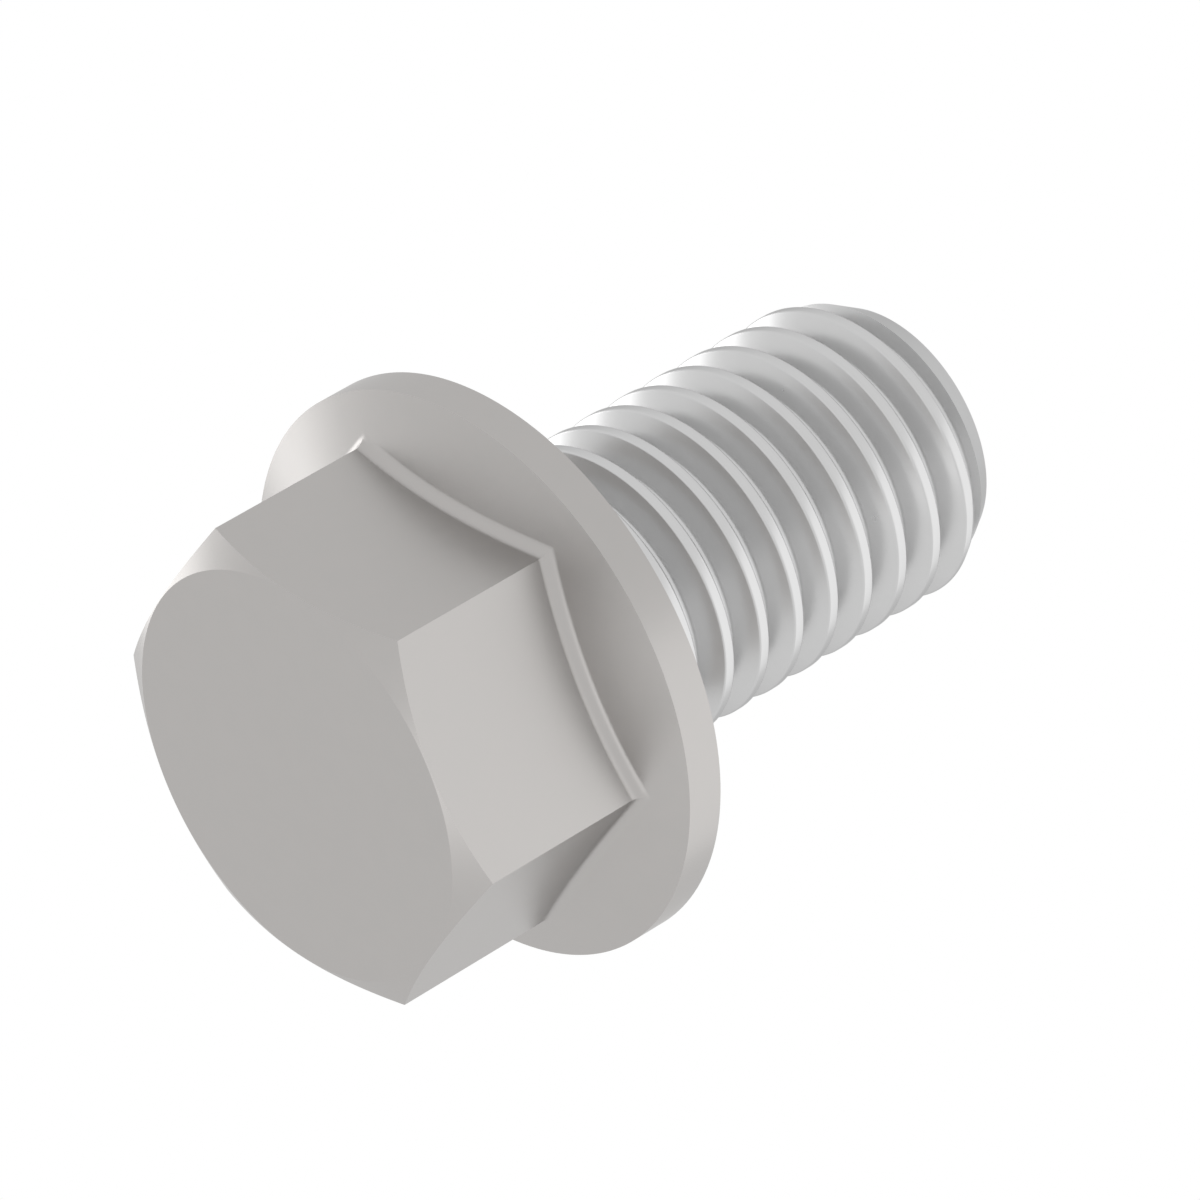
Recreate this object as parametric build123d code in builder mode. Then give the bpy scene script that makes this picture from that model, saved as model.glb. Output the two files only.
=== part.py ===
from build123d import *
import math
import os

# Hexagon flange bolt with a coarse M12 thread and a nominal length of 20 mm.
# Sizes are millimetres. The origin is the middle of the head's flat top face, which the
# bolt stands on, and +Z runs along the axis to the tip of the shank.

# Head
flat_count = 6
across_flats = 16.0
head_height = 10.0
head_chamfer_angle = 30.0
top_face_inset = 0.03
head_root_chamfer = 0.35

# Flange
flange_diameter = 22.1
rim_thickness = 1.5
flange_slope = 20.0

# Shank
major_diameter = 11.84
shank_length = 19.7
tip_diameter = 9.8
under_head_chamfer = 0.4
plain_length = 1.6
runout_length = 1.6

# Thread. The groove angle is how far round from +X the groove enters at the head.
thread_pitch = 1.75
thread_angle = 60.0
crest_width = 0.41
groove_angle = 262.9
module_turns = 6
cutter_clearance = 0.15


def tan_deg(angle):
    return math.tan(math.radians(angle))


half_sector = 180 / flat_count
flat_distance = across_flats / 2
flat_width = 2 * flat_distance * tan_deg(half_sector)
flat_overrun = head_root_chamfer * tan_deg(half_sector)
corner_distance = flat_distance / math.cos(math.radians(half_sector))
top_circle_radius = flat_distance - top_face_inset
corner_drop = (corner_distance - top_circle_radius) * tan_deg(head_chamfer_angle)
flange_radius = flange_diameter / 2
rim_start = head_height - rim_thickness
slope_apex = rim_start - flange_radius * tan_deg(flange_slope)
shank_radius = major_diameter / 2
tip_radius = tip_diameter / 2
tip_end = head_height + shank_length
plain_end = head_height + plain_length
runout_end = plain_end + runout_length
groove_half_width = (thread_pitch - crest_width) / 2
groove_bottom = shank_radius - groove_half_width / tan_deg(thread_angle / 2)
cutter_radius = shank_radius + cutter_clearance
cutter_half_width = groove_half_width + cutter_clearance * tan_deg(thread_angle / 2)
module_length = module_turns * thread_pitch
module_count = math.ceil(shank_length / module_length)

# One sixth of the head: a single flat that runs out over the sloping flange through a
# narrow slope. The flat faces -X, and the flange's seam is left on the other side. The
# flat is drawn longer at both ends, so that the slopes still meet when they are mitred.
with BuildPart() as head_sixth:
    with BuildSketch(Plane.XZ):
        with BuildLine():
            Polyline(
                (0, slope_apex),
                (flange_radius, rim_start),
                (flange_radius, head_height),
                (0, head_height),
                close=True,
            )
        make_face()
    revolve(axis=Axis.Z)
    with BuildSketch():
        Rectangle(
            flat_distance,
            flat_width + 2 * flat_overrun,
            align=(Align.MAX, Align.CENTER),
        )
    extrude(amount=rim_start)
    flat = head_sixth.faces().filter_by(Axis.X).sort_by(Axis.X)[0]
    chamfer(flat.edges().sort_by(Axis.Z)[-1], length=head_root_chamfer)

    # Both sides are trimmed to the planes through the axis and the flat's corners.
    with BuildSketch():
        with BuildLine():
            Polyline(
                (0, 0),
                (-flange_diameter, flange_diameter * tan_deg(half_sector)),
                (-flange_diameter, -flange_diameter * tan_deg(half_sector)),
                close=True,
            )
        make_face()
    extrude(amount=head_height, mode=Mode.INTERSECT)

# The thread's cutter is a V drawn on the XZ plane and swept up a right-hand helix. It
# starts half a pitch below the module that it cuts and ends half a pitch above it.
with BuildPart() as groove:
    with BuildLine() as helix:
        Helix(
            thread_pitch,
            module_length + thread_pitch,
            shank_radius,
            center=(0, 0, -thread_pitch / 2),
        )
    with BuildSketch(Plane.XZ):
        with BuildLine():
            Polyline(
                (groove_bottom, -thread_pitch / 2),
                (cutter_radius, -thread_pitch / 2 - cutter_half_width),
                (cutter_radius, -thread_pitch / 2 + cutter_half_width),
                close=True,
            )
        make_face()
    sweep(path=helix.line, is_frenet=True)

# A length of threaded rod with a whole number of turns, so that copies stacked end to end
# carry the thread on
with BuildPart() as thread_module:
    with BuildSketch():
        Circle(shank_radius)
    extrude(amount=module_length)
    add(groove.part, rotation=(0, 0, groove_angle), mode=Mode.SUBTRACT)

with BuildPart() as shank:
    with Locations(*[(0, 0, head_height + i * module_length) for i in range(module_count)]):
        add(thread_module.part)

    # The rod is cut to length with a 45 degree point.
    with BuildSketch(Plane.XZ):
        with BuildLine():
            Polyline(
                (0, head_height),
                (tip_radius + shank_length, head_height),
                (tip_radius, tip_end),
                (0, tip_end),
                close=True,
            )
        make_face()
    revolve(axis=Axis.Z, mode=Mode.INTERSECT)

    # Next to the head the thread runs out into a plain length, which meets the flange's
    # bearing face in a narrow slope.
    with BuildSketch(Plane.XZ):
        with BuildLine():
            Polyline(
                (0, head_height),
                (shank_radius + under_head_chamfer, head_height),
                (shank_radius, head_height + under_head_chamfer),
                (shank_radius, plain_end),
                (groove_bottom - cutter_clearance, runout_end),
                (0, runout_end),
                close=True,
            )
        make_face()
    revolve(axis=Axis.Z)

with BuildPart() as flange_bolt:
    # Six sixths make the hexagon, with the slopes at its root mitred at the corners.
    with PolarLocations(0, flat_count):
        add(head_sixth.part)

    # A cone turns the corners down and leaves a round top face that all but touches
    # the six flats.
    with BuildSketch(Plane.XZ):
        with BuildLine():
            Polyline(
                (0, 0),
                (top_circle_radius, 0),
                (corner_distance, corner_drop),
                (flange_radius, corner_drop),
                (flange_radius, head_height),
                (0, head_height),
                close=True,
            )
        make_face()
    revolve(axis=Axis.Z, mode=Mode.INTERSECT)

    add(shank.part)

flange_bolt.part.label = "flange_bolt"
os.makedirs("parts", exist_ok=True)
export_step(flange_bolt.part, "parts/flange_bolt.step")
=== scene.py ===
import math

import bmesh
import bpy
from mathutils import Matrix, Vector


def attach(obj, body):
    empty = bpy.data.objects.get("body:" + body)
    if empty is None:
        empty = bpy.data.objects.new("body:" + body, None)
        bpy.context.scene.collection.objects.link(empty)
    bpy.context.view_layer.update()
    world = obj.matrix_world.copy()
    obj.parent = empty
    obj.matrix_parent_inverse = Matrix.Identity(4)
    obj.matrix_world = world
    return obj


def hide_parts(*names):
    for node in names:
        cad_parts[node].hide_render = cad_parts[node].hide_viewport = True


# A hexagon flange bolt, M12 x 1.75 x 20, headed and thread-rolled from one piece of steel.
# It stands on the flat top of its head, with the thread up. Shapes are drawn in
# millimetres from the middle of that top face and made metres when they are finished.

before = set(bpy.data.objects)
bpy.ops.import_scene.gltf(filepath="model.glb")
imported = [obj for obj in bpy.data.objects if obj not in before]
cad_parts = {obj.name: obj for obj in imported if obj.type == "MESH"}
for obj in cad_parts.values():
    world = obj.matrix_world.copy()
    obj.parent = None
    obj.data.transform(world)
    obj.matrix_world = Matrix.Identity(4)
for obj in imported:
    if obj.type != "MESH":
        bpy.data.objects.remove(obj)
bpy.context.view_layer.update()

METRES = 0.001

# Steps round the axis
COLUMNS = 192

# Head and flange
FLAT_DISTANCE = 8.0
HALF_FLAT = math.radians(30)
HEAD_HEIGHT = 10.0
TOP_CIRCLE = 7.97
CHAMFER_SLOPE = math.radians(30)
HEAD_ROOT_RADIUS = 0.55
FLANGE_RADIUS = 11.05
RIM_THICKNESS = 1.5
FLANGE_SLOPE = math.radians(20)

# Shank and thread
CREST_RADIUS = 5.92
SHANK_LENGTH = 19.7
TIP_RADIUS = 4.9
POINT_SLOPE = math.radians(30)
UNDER_HEAD_RADIUS = 0.6
PLAIN_LENGTH = 1.6
RUNOUT_LENGTH = 1.7
PITCH = 1.75
CREST_WIDTH = 0.41
HALF_FLANK_ANGLE = math.radians(30)
CREST_ROUNDING = 0.07
GROOVE_ROUNDING = 0.38

# The rod is longer than the shank at both ends, and this is how high its first crest
# passes the +X axis.
FIRST_CREST = 8.722
THREAD_TURNS = 13

RIM_START = HEAD_HEIGHT - RIM_THICKNESS
TIP_END = HEAD_HEIGHT + SHANK_LENGTH
PLAIN_END = HEAD_HEIGHT + PLAIN_LENGTH
RUNOUT_END = HEAD_HEIGHT + PLAIN_LENGTH + RUNOUT_LENGTH

# The head's own mesh ends a little short of the shank's, and build_bolt bridges them.
SHANK_START = HEAD_HEIGHT + 1.0
NECK_END = SHANK_START - 0.1


# Shaping


def of_kind(made, kind):
    """Picks the vertices or the edges out of what a bmesh operator made."""
    return [item for item in made if isinstance(item, kind)]


def grow_rim(bm, rim, place):
    """Extrudes a closed rim of edges and moves each new vertex, on its own radial plane,
    to the radius and height that place gives for its angle round the axis."""
    made = bmesh.ops.extrude_edge_only(bm, edges=rim)["geom"]
    for vert in of_kind(made, bmesh.types.BMVert):
        angle = math.atan2(vert.co.y, vert.co.x)
        radius, height = place(angle)
        vert.co = (radius * math.cos(angle), radius * math.sin(angle), height)
    return [edge for edge in of_kind(made, bmesh.types.BMEdge) if edge.is_boundary]


def turned(outline):
    """A closed solid turned round the axis from an outline of (radius, height) points that
    starts and ends on the axis."""
    bm = bmesh.new()
    verts = [bm.verts.new((radius, 0, height)) for radius, height in outline]
    edges = [bm.edges.new(pair) for pair in zip(verts, verts[1:])]
    bmesh.ops.spin(
        bm,
        geom=verts + edges,
        cent=(0, 0, 0),
        axis=(0, 0, 1),
        angle=math.tau,
        steps=COLUMNS,
        use_merge=True,
    )
    bmesh.ops.remove_doubles(bm, verts=bm.verts, dist=0.0005)
    bmesh.ops.recalc_face_normals(bm, faces=bm.faces)
    return bm


def combined(first, second, operation):
    """Joins the second solid to the first, or trims the first to it. Both are used up."""
    tools = []
    for name, bm in (("first", first), ("second", second)):
        mesh = bpy.data.meshes.new(name)
        bm.to_mesh(mesh)
        bm.free()
        tools.append(bpy.data.objects.new(name, mesh))
        bpy.context.scene.collection.objects.link(tools[-1])
    cut = tools[0].modifiers.new("cut", "BOOLEAN")
    cut.operation = operation
    cut.solver = "MANIFOLD"
    cut.object = tools[1]
    shown = tools[0].evaluated_get(bpy.context.evaluated_depsgraph_get())
    made = bpy.data.meshes.new_from_object(shown)
    bm = bmesh.new()
    bm.from_mesh(made)
    for tool in tools:
        mesh = tool.data
        bpy.data.objects.remove(tool)
        bpy.data.meshes.remove(mesh)
    bpy.data.meshes.remove(made)
    return bm


# Head


def from_flat_middle(angle):
    """The angle between a radial plane and the middle of the flat that it cuts."""
    return abs((angle + HALF_FLAT) % (2 * HALF_FLAT) - HALF_FLAT)


def slope_height(radius):
    """The height of the flange's sloping face."""
    return RIM_START - (FLANGE_RADIUS - radius) * math.tan(FLANGE_SLOPE)


def flat_top(angle):
    """Where a flat meets the cone that turns its corners down."""
    radius = FLAT_DISTANCE / math.cos(from_flat_middle(angle))
    return radius, (radius - TOP_CIRCLE) * math.tan(CHAMFER_SLOPE)


def root(angle, turn):
    """The radius between a flat and the flange's slope, as a ball rolled along the corner
    leaves it. Turn is 0 on the flat and 1 on the slope."""
    off_middle = from_flat_middle(angle)
    along = FLAT_DISTANCE * math.tan(off_middle)
    # The ball is moved along the flat until what it leaves lies on the radial plane.
    for _ in range(8):
        ball = Vector((FLAT_DISTANCE + HEAD_ROOT_RADIUS, along, 0))
        outwards = ball.normalized()
        ball.z = slope_height(ball.length) - HEAD_ROOT_RADIUS / math.cos(FLANGE_SLOPE)
        to_slope = Vector((0, 0, math.cos(FLANGE_SLOPE))) - outwards * math.sin(FLANGE_SLOPE)
        point = ball + HEAD_ROOT_RADIUS * Vector((-1, 0, 0)).slerp(to_slope, turn)
        along += point.x * math.tan(off_middle) - point.y
    return math.hypot(point.x, point.y), point.z


def under_head(turn):
    """The radius between the bearing face and the shank. Turn is 0 on the face."""
    angle = turn * math.pi / 2
    radius = CREST_RADIUS + UNDER_HEAD_RADIUS * (1 - math.sin(angle))
    return radius, HEAD_HEIGHT + UNDER_HEAD_RADIUS * (1 - math.cos(angle))


def headed_blank():
    """The head and flange, from the top face round to the neck under the head."""
    root_steps = 10
    under_head_steps = 8
    bm = bmesh.new()
    bmesh.ops.create_circle(bm, cap_ends=True, segments=COLUMNS, radius=TOP_CIRCLE)
    rim = grow_rim(bm, list(bm.edges), flat_top)
    for step in range(root_steps + 1):
        rim = grow_rim(bm, rim, lambda angle: root(angle, step / root_steps))
    rim = grow_rim(bm, rim, lambda angle: (FLANGE_RADIUS, RIM_START))
    rim = grow_rim(bm, rim, lambda angle: (FLANGE_RADIUS, HEAD_HEIGHT))
    for step in range(under_head_steps + 1):
        rim = grow_rim(bm, rim, lambda angle: under_head(step / under_head_steps))
    grow_rim(bm, rim, lambda angle: (CREST_RADIUS, NECK_END))
    return bm


# Thread


def rolled_rod():
    """A rod with the rolled thread over its whole length, cut square at both ends, a
    little past the shank's start and its tip."""
    rod_start = HEAD_HEIGHT + 0.75
    rod_end = TIP_END + 0.8
    apex_depth = (PITCH - CREST_WIDTH) / 2 / math.tan(HALF_FLANK_ANGLE)
    outline = [
        (CREST_RADIUS, 0),
        (CREST_RADIUS, CREST_WIDTH / 2),
        (CREST_RADIUS - apex_depth, PITCH / 2),
        (CREST_RADIUS, PITCH - CREST_WIDTH / 2),
        (CREST_RADIUS, PITCH),
    ]
    bm = bmesh.new()
    verts = [bm.verts.new((radius, 0, FIRST_CREST + rise)) for radius, rise in outline]
    for pair in zip(verts, verts[1:]):
        bm.edges.new(pair)
    # The rollers leave the crest's two corners and the root rounded.
    rounding = {1: (CREST_ROUNDING, 5), 2: (GROOVE_ROUNDING, 8), 3: (CREST_ROUNDING, 5)}
    for index, (offset, segments) in rounding.items():
        bmesh.ops.bevel(
            bm,
            geom=[verts[index]],
            offset=offset,
            offset_type="OFFSET",
            segments=segments,
            profile=0.5,
            affect="VERTICES",
            material=-1,
        )
    bmesh.ops.spin(
        bm,
        geom=bm.verts[:] + bm.edges[:],
        cent=(0, 0, 0),
        axis=(0, 0, 1),
        dvec=(0, 0, PITCH / COLUMNS),
        angle=math.tau,
        steps=COLUMNS,
    )
    one_turn = bm.verts[:] + bm.edges[:] + bm.faces[:]
    for turn in range(1, THREAD_TURNS):
        copied = bmesh.ops.duplicate(bm, geom=one_turn)["geom"]
        moved = of_kind(copied, bmesh.types.BMVert)
        bmesh.ops.translate(bm, verts=moved, vec=(0, 0, turn * PITCH))
    bmesh.ops.remove_doubles(bm, verts=bm.verts, dist=0.0005)
    for height, side in ((rod_start, -1), (rod_end, 1)):
        bmesh.ops.bisect_plane(
            bm,
            geom=bm.verts[:] + bm.edges[:] + bm.faces[:],
            plane_co=(0, 0, height),
            plane_no=(0, 0, side),
            clear_outer=True,
        )
    open_ends = [edge for edge in bm.edges if edge.is_boundary]
    bmesh.ops.holes_fill(bm, edges=open_ends, sides=0)
    bmesh.ops.recalc_face_normals(bm, faces=bm.faces)
    return bm


def threaded_shank():
    """The thread with its steep point and its run-out by the head, open at the start."""
    # The point is drawn on until it is clear of the crests.
    point_length = 2.5
    wide_radius = TIP_RADIUS + point_length * math.tan(POINT_SLOPE)
    point = turned(
        [
            (0, HEAD_HEIGHT),
            (wide_radius, HEAD_HEIGHT),
            (wide_radius, TIP_END - point_length),
            (TIP_RADIUS, TIP_END),
            (0, TIP_END),
        ]
    )
    # The collar stands a hair proud of the crests, so that the two never share a surface.
    collar_radius = CREST_RADIUS + 0.004
    # Its cone ends a little deeper than the root of the groove, which runs out on it.
    cone_end_radius = TIP_RADIUS - 0.05
    run_out = turned(
        [
            (0, HEAD_HEIGHT),
            (collar_radius, HEAD_HEIGHT),
            (collar_radius, PLAIN_END),
            (cone_end_radius, RUNOUT_END),
            (0, RUNOUT_END),
        ]
    )
    shank = combined(rolled_rod(), point, "INTERSECT")
    shank = combined(shank, run_out, "UNION")
    bmesh.ops.bisect_plane(
        shank,
        geom=shank.verts[:] + shank.edges[:] + shank.faces[:],
        plane_co=(0, 0, SHANK_START),
        plane_no=(0, 0, -1),
        clear_outer=True,
    )
    return shank


# Materials


def linear(code):
    """An sRGB hex colour as linear RGBA."""
    channels = [int(code[i:i + 2], 16) / 255 for i in (1, 3, 5)]
    return [c / 12.92 if c <= 0.04045 else ((c + 0.055) / 1.055) ** 2.4 for c in channels] + [1]


def node(tree, kind, inputs=None, links=None, **settings):
    """Adds a node with its settings, its input values and its links from other sockets."""
    made = tree.nodes.new(kind)
    for name, value in settings.items():
        setattr(made, name, value)
    for name, value in (inputs or {}).items():
        made.inputs[name].default_value = value
    for name, socket in (links or {}).items():
        tree.links.new(socket, made.inputs[name])
    return made


def new_material(name):
    """An empty node material and its tree."""
    material = bpy.data.materials.new(name)
    material.use_nodes = True
    material.node_tree.nodes.clear()
    return material, material.node_tree


def clouded_steel(name, patch, detail, grain, tones, roughness, tint):
    """Bare steel whose tone and roughness drift a little from patch to patch. The size of a
    patch is in metres, and tones and roughness are each a pair of limits."""
    material, tree = new_material(name)
    place = node(tree, "ShaderNodeTexCoord").outputs["Object"]
    cloud = node(
        tree,
        "ShaderNodeTexNoise",
        inputs={"Scale": 1 / patch, "Detail": detail, "Roughness": grain},
        links={"Vector": place},
    ).outputs["Fac"]
    tone = node(
        tree,
        "ShaderNodeMix",
        data_type="RGBA",
        inputs={"A": linear(tones[0]), "B": linear(tones[1])},
        links={"Factor": cloud},
    ).outputs["Result"]
    dulled = node(
        tree,
        "ShaderNodeMapRange",
        inputs={"To Min": roughness[0], "To Max": roughness[1]},
        links={"Value": cloud},
    ).outputs["Result"]
    surface = node(
        tree,
        "ShaderNodeBsdfPrincipled",
        inputs={"Metallic": 1.0, "Specular Tint": linear(tint)},
        links={"Base Color": tone, "Roughness": dulled},
    )
    node(tree, "ShaderNodeOutputMaterial", links={"Surface": surface.outputs["BSDF"]})
    return material


def cold_headed_steel():
    """Bare carbon steel, cold headed in a die and tumbled clean: an even satin grey, a
    little warm, with the faint cloudiness that tumbling leaves in patches of 1.2 mm."""
    return clouded_steel(
        "cold_headed_steel",
        patch=0.0012,
        detail=4.0,
        grain=0.6,
        tones=("#AFADAB", "#B3B0AE"),
        roughness=(0.30, 0.35),
        tint="#EDEDED",
    )


def rolled_steel():
    """The same steel where the thread rollers have burnished it: smoother, so that the
    crests carry bright lines and the grooves go dark, with patches of 0.8 mm."""
    return clouded_steel(
        "rolled_steel",
        patch=0.0008,
        detail=3.0,
        grain=0.5,
        tones=("#C6C6C6", "#CACACA"),
        roughness=(0.26, 0.32),
        tint="#CCCCCC",
    )


def paper_floor():
    """Matt white paper. It shows only from above, to the camera, and lets the light and the
    view from below through, because the photograph looks up at the bolt."""
    material, tree = new_material("paper_floor")
    seen = node(tree, "ShaderNodeLightPath").outputs["Is Camera Ray"]
    from_below = node(tree, "ShaderNodeNewGeometry").outputs["Backfacing"]
    shown = node(tree, "ShaderNodeMath", operation="SUBTRACT", use_clamp=True)
    tree.links.new(seen, shown.inputs[0])
    tree.links.new(from_below, shown.inputs[1])
    paper = node(tree, "ShaderNodeBsdfDiffuse", inputs={"Color": linear("#EDEDEB")})
    clear = node(tree, "ShaderNodeBsdfTransparent")
    mixed = node(tree, "ShaderNodeMixShader", links={"Fac": shown.outputs[0]})
    tree.links.new(clear.outputs[0], mixed.inputs[1])
    tree.links.new(paper.outputs[0], mixed.inputs[2])
    node(tree, "ShaderNodeOutputMaterial", links={"Surface": mixed.outputs["Shader"]})
    return material


# The bolt


def build_bolt():
    """Head and thread as one closed skin."""
    shortest_edge = 0.002
    sharpest_smooth = math.radians(25)
    bm = headed_blank()
    shank = threaded_shank()
    for face in shank.faces:
        face.material_index = 1
    mesh = bpy.data.meshes.new("flange_bolt_skin")
    shank.to_mesh(mesh)
    shank.free()
    bm.from_mesh(mesh)
    open_rims = [edge for edge in bm.edges if edge.is_boundary]
    bmesh.ops.bridge_loops(bm, edges=open_rims)
    # The cuts leave some edges far shorter than a micron, which are closed up.
    bmesh.ops.dissolve_degenerate(bm, edges=bm.edges[:], dist=shortest_edge)
    bmesh.ops.recalc_face_normals(bm, faces=bm.faces)
    for face in bm.faces:
        face.smooth = True
    for edge in bm.edges:
        edge.smooth = edge.calc_face_angle(math.pi) < sharpest_smooth
    bm.to_mesh(mesh)
    bm.free()
    mesh.transform(Matrix.Scale(METRES, 4))
    mesh.materials.append(cold_headed_steel())
    mesh.materials.append(rolled_steel())
    bolt = bpy.data.objects.new("forged_bolt", mesh)
    bpy.context.scene.collection.objects.link(bolt)
    normals = bolt.modifiers.new("even shading", "WEIGHTED_NORMAL")
    normals.keep_sharp = True
    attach(bolt, "root")
    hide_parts("flange_bolt")


# Floor, light and camera, in metres

FLOOR_SIZE = 1.5
FLOOR_GAP = 0.00005
LAMP_DISTANCE = 0.5


def build_floor():
    """A plain sheet, a hair under the head so that the two never share a surface."""
    bm = bmesh.new()
    bmesh.ops.create_grid(bm, x_segments=1, y_segments=1, size=FLOOR_SIZE)
    bmesh.ops.translate(bm, verts=bm.verts, vec=(0, 0, -FLOOR_GAP))
    mesh = bpy.data.meshes.new("floor")
    bm.to_mesh(mesh)
    bm.free()
    mesh.materials.append(paper_floor())
    floor = bpy.data.objects.new("floor", mesh)
    bpy.context.scene.collection.objects.link(floor)


def soft_lamp(name, azimuth, elevation, size, power):
    """A square soft lamp that faces the bolt from a direction given in degrees."""
    middle = Vector((0, 0, 0.015))
    turn, rise = math.radians(azimuth), math.radians(elevation)
    level = Vector((math.cos(turn), math.sin(turn), 0))
    direction = level * math.cos(rise) + Vector((0, 0, math.sin(rise)))
    data = bpy.data.lights.new(name, "AREA")
    data.size = size
    data.energy = power
    lamp = bpy.data.objects.new(name, data)
    lamp.location = middle + LAMP_DISTANCE * direction
    lamp.rotation_euler = (middle - lamp.location).to_track_quat("-Z", "Y").to_euler()
    lamp.visible_camera = False
    bpy.context.scene.collection.objects.link(lamp)


def white_surroundings(level):
    """White behind the bolt and in its reflections, and a little less light on the floor."""
    world = bpy.data.worlds.new("surroundings")
    bpy.context.scene.world = world
    world.use_nodes = True
    tree = world.node_tree
    tree.nodes.clear()
    path = node(tree, "ShaderNodeLightPath")
    seen = path.outputs["Is Camera Ray"]
    for kind in ("Is Glossy Ray", "Is Transmission Ray"):
        either = node(tree, "ShaderNodeMath", operation="MAXIMUM")
        tree.links.new(seen, either.inputs[0])
        tree.links.new(path.outputs[kind], either.inputs[1])
        seen = either.outputs[0]
    colour = linear("#FFFFFF")
    soft = node(tree, "ShaderNodeBackground", inputs={"Color": colour, "Strength": level})
    white = node(tree, "ShaderNodeBackground", inputs={"Color": colour, "Strength": 1.0})
    mixed = node(tree, "ShaderNodeMixShader", links={"Fac": seen})
    tree.links.new(soft.outputs[0], mixed.inputs[1])
    tree.links.new(white.outputs[0], mixed.inputs[2])
    node(tree, "ShaderNodeOutputWorld", links={"Surface": mixed.outputs["Shader"]})


def build_camera():
    """A long lens from below the head, where the photograph was taken from."""
    data = bpy.data.cameras.new("camera")
    data.sensor_width = 36.0
    data.lens = 308.68
    camera = bpy.data.objects.new("camera", data)
    camera.location = (0.074687, -0.296214, -0.190840)
    camera.rotation_euler = [math.radians(angle) for angle in (143.2192, -45.7843, -29.6456)]
    bpy.context.scene.collection.objects.link(camera)
    bpy.context.scene.camera = camera


build_bolt()
build_floor()
white_surroundings(level=0.85)
soft_lamp("far_left_lamp", azimuth=137, elevation=-6, size=0.30, power=0.46)
soft_lamp("right_lamp", azimuth=352, elevation=36, size=0.80, power=0.75)
soft_lamp("low_lamp", azimuth=12, elevation=-72, size=0.25, power=0.10)
build_camera()
bpy.context.scene.view_settings.view_transform = "Standard"
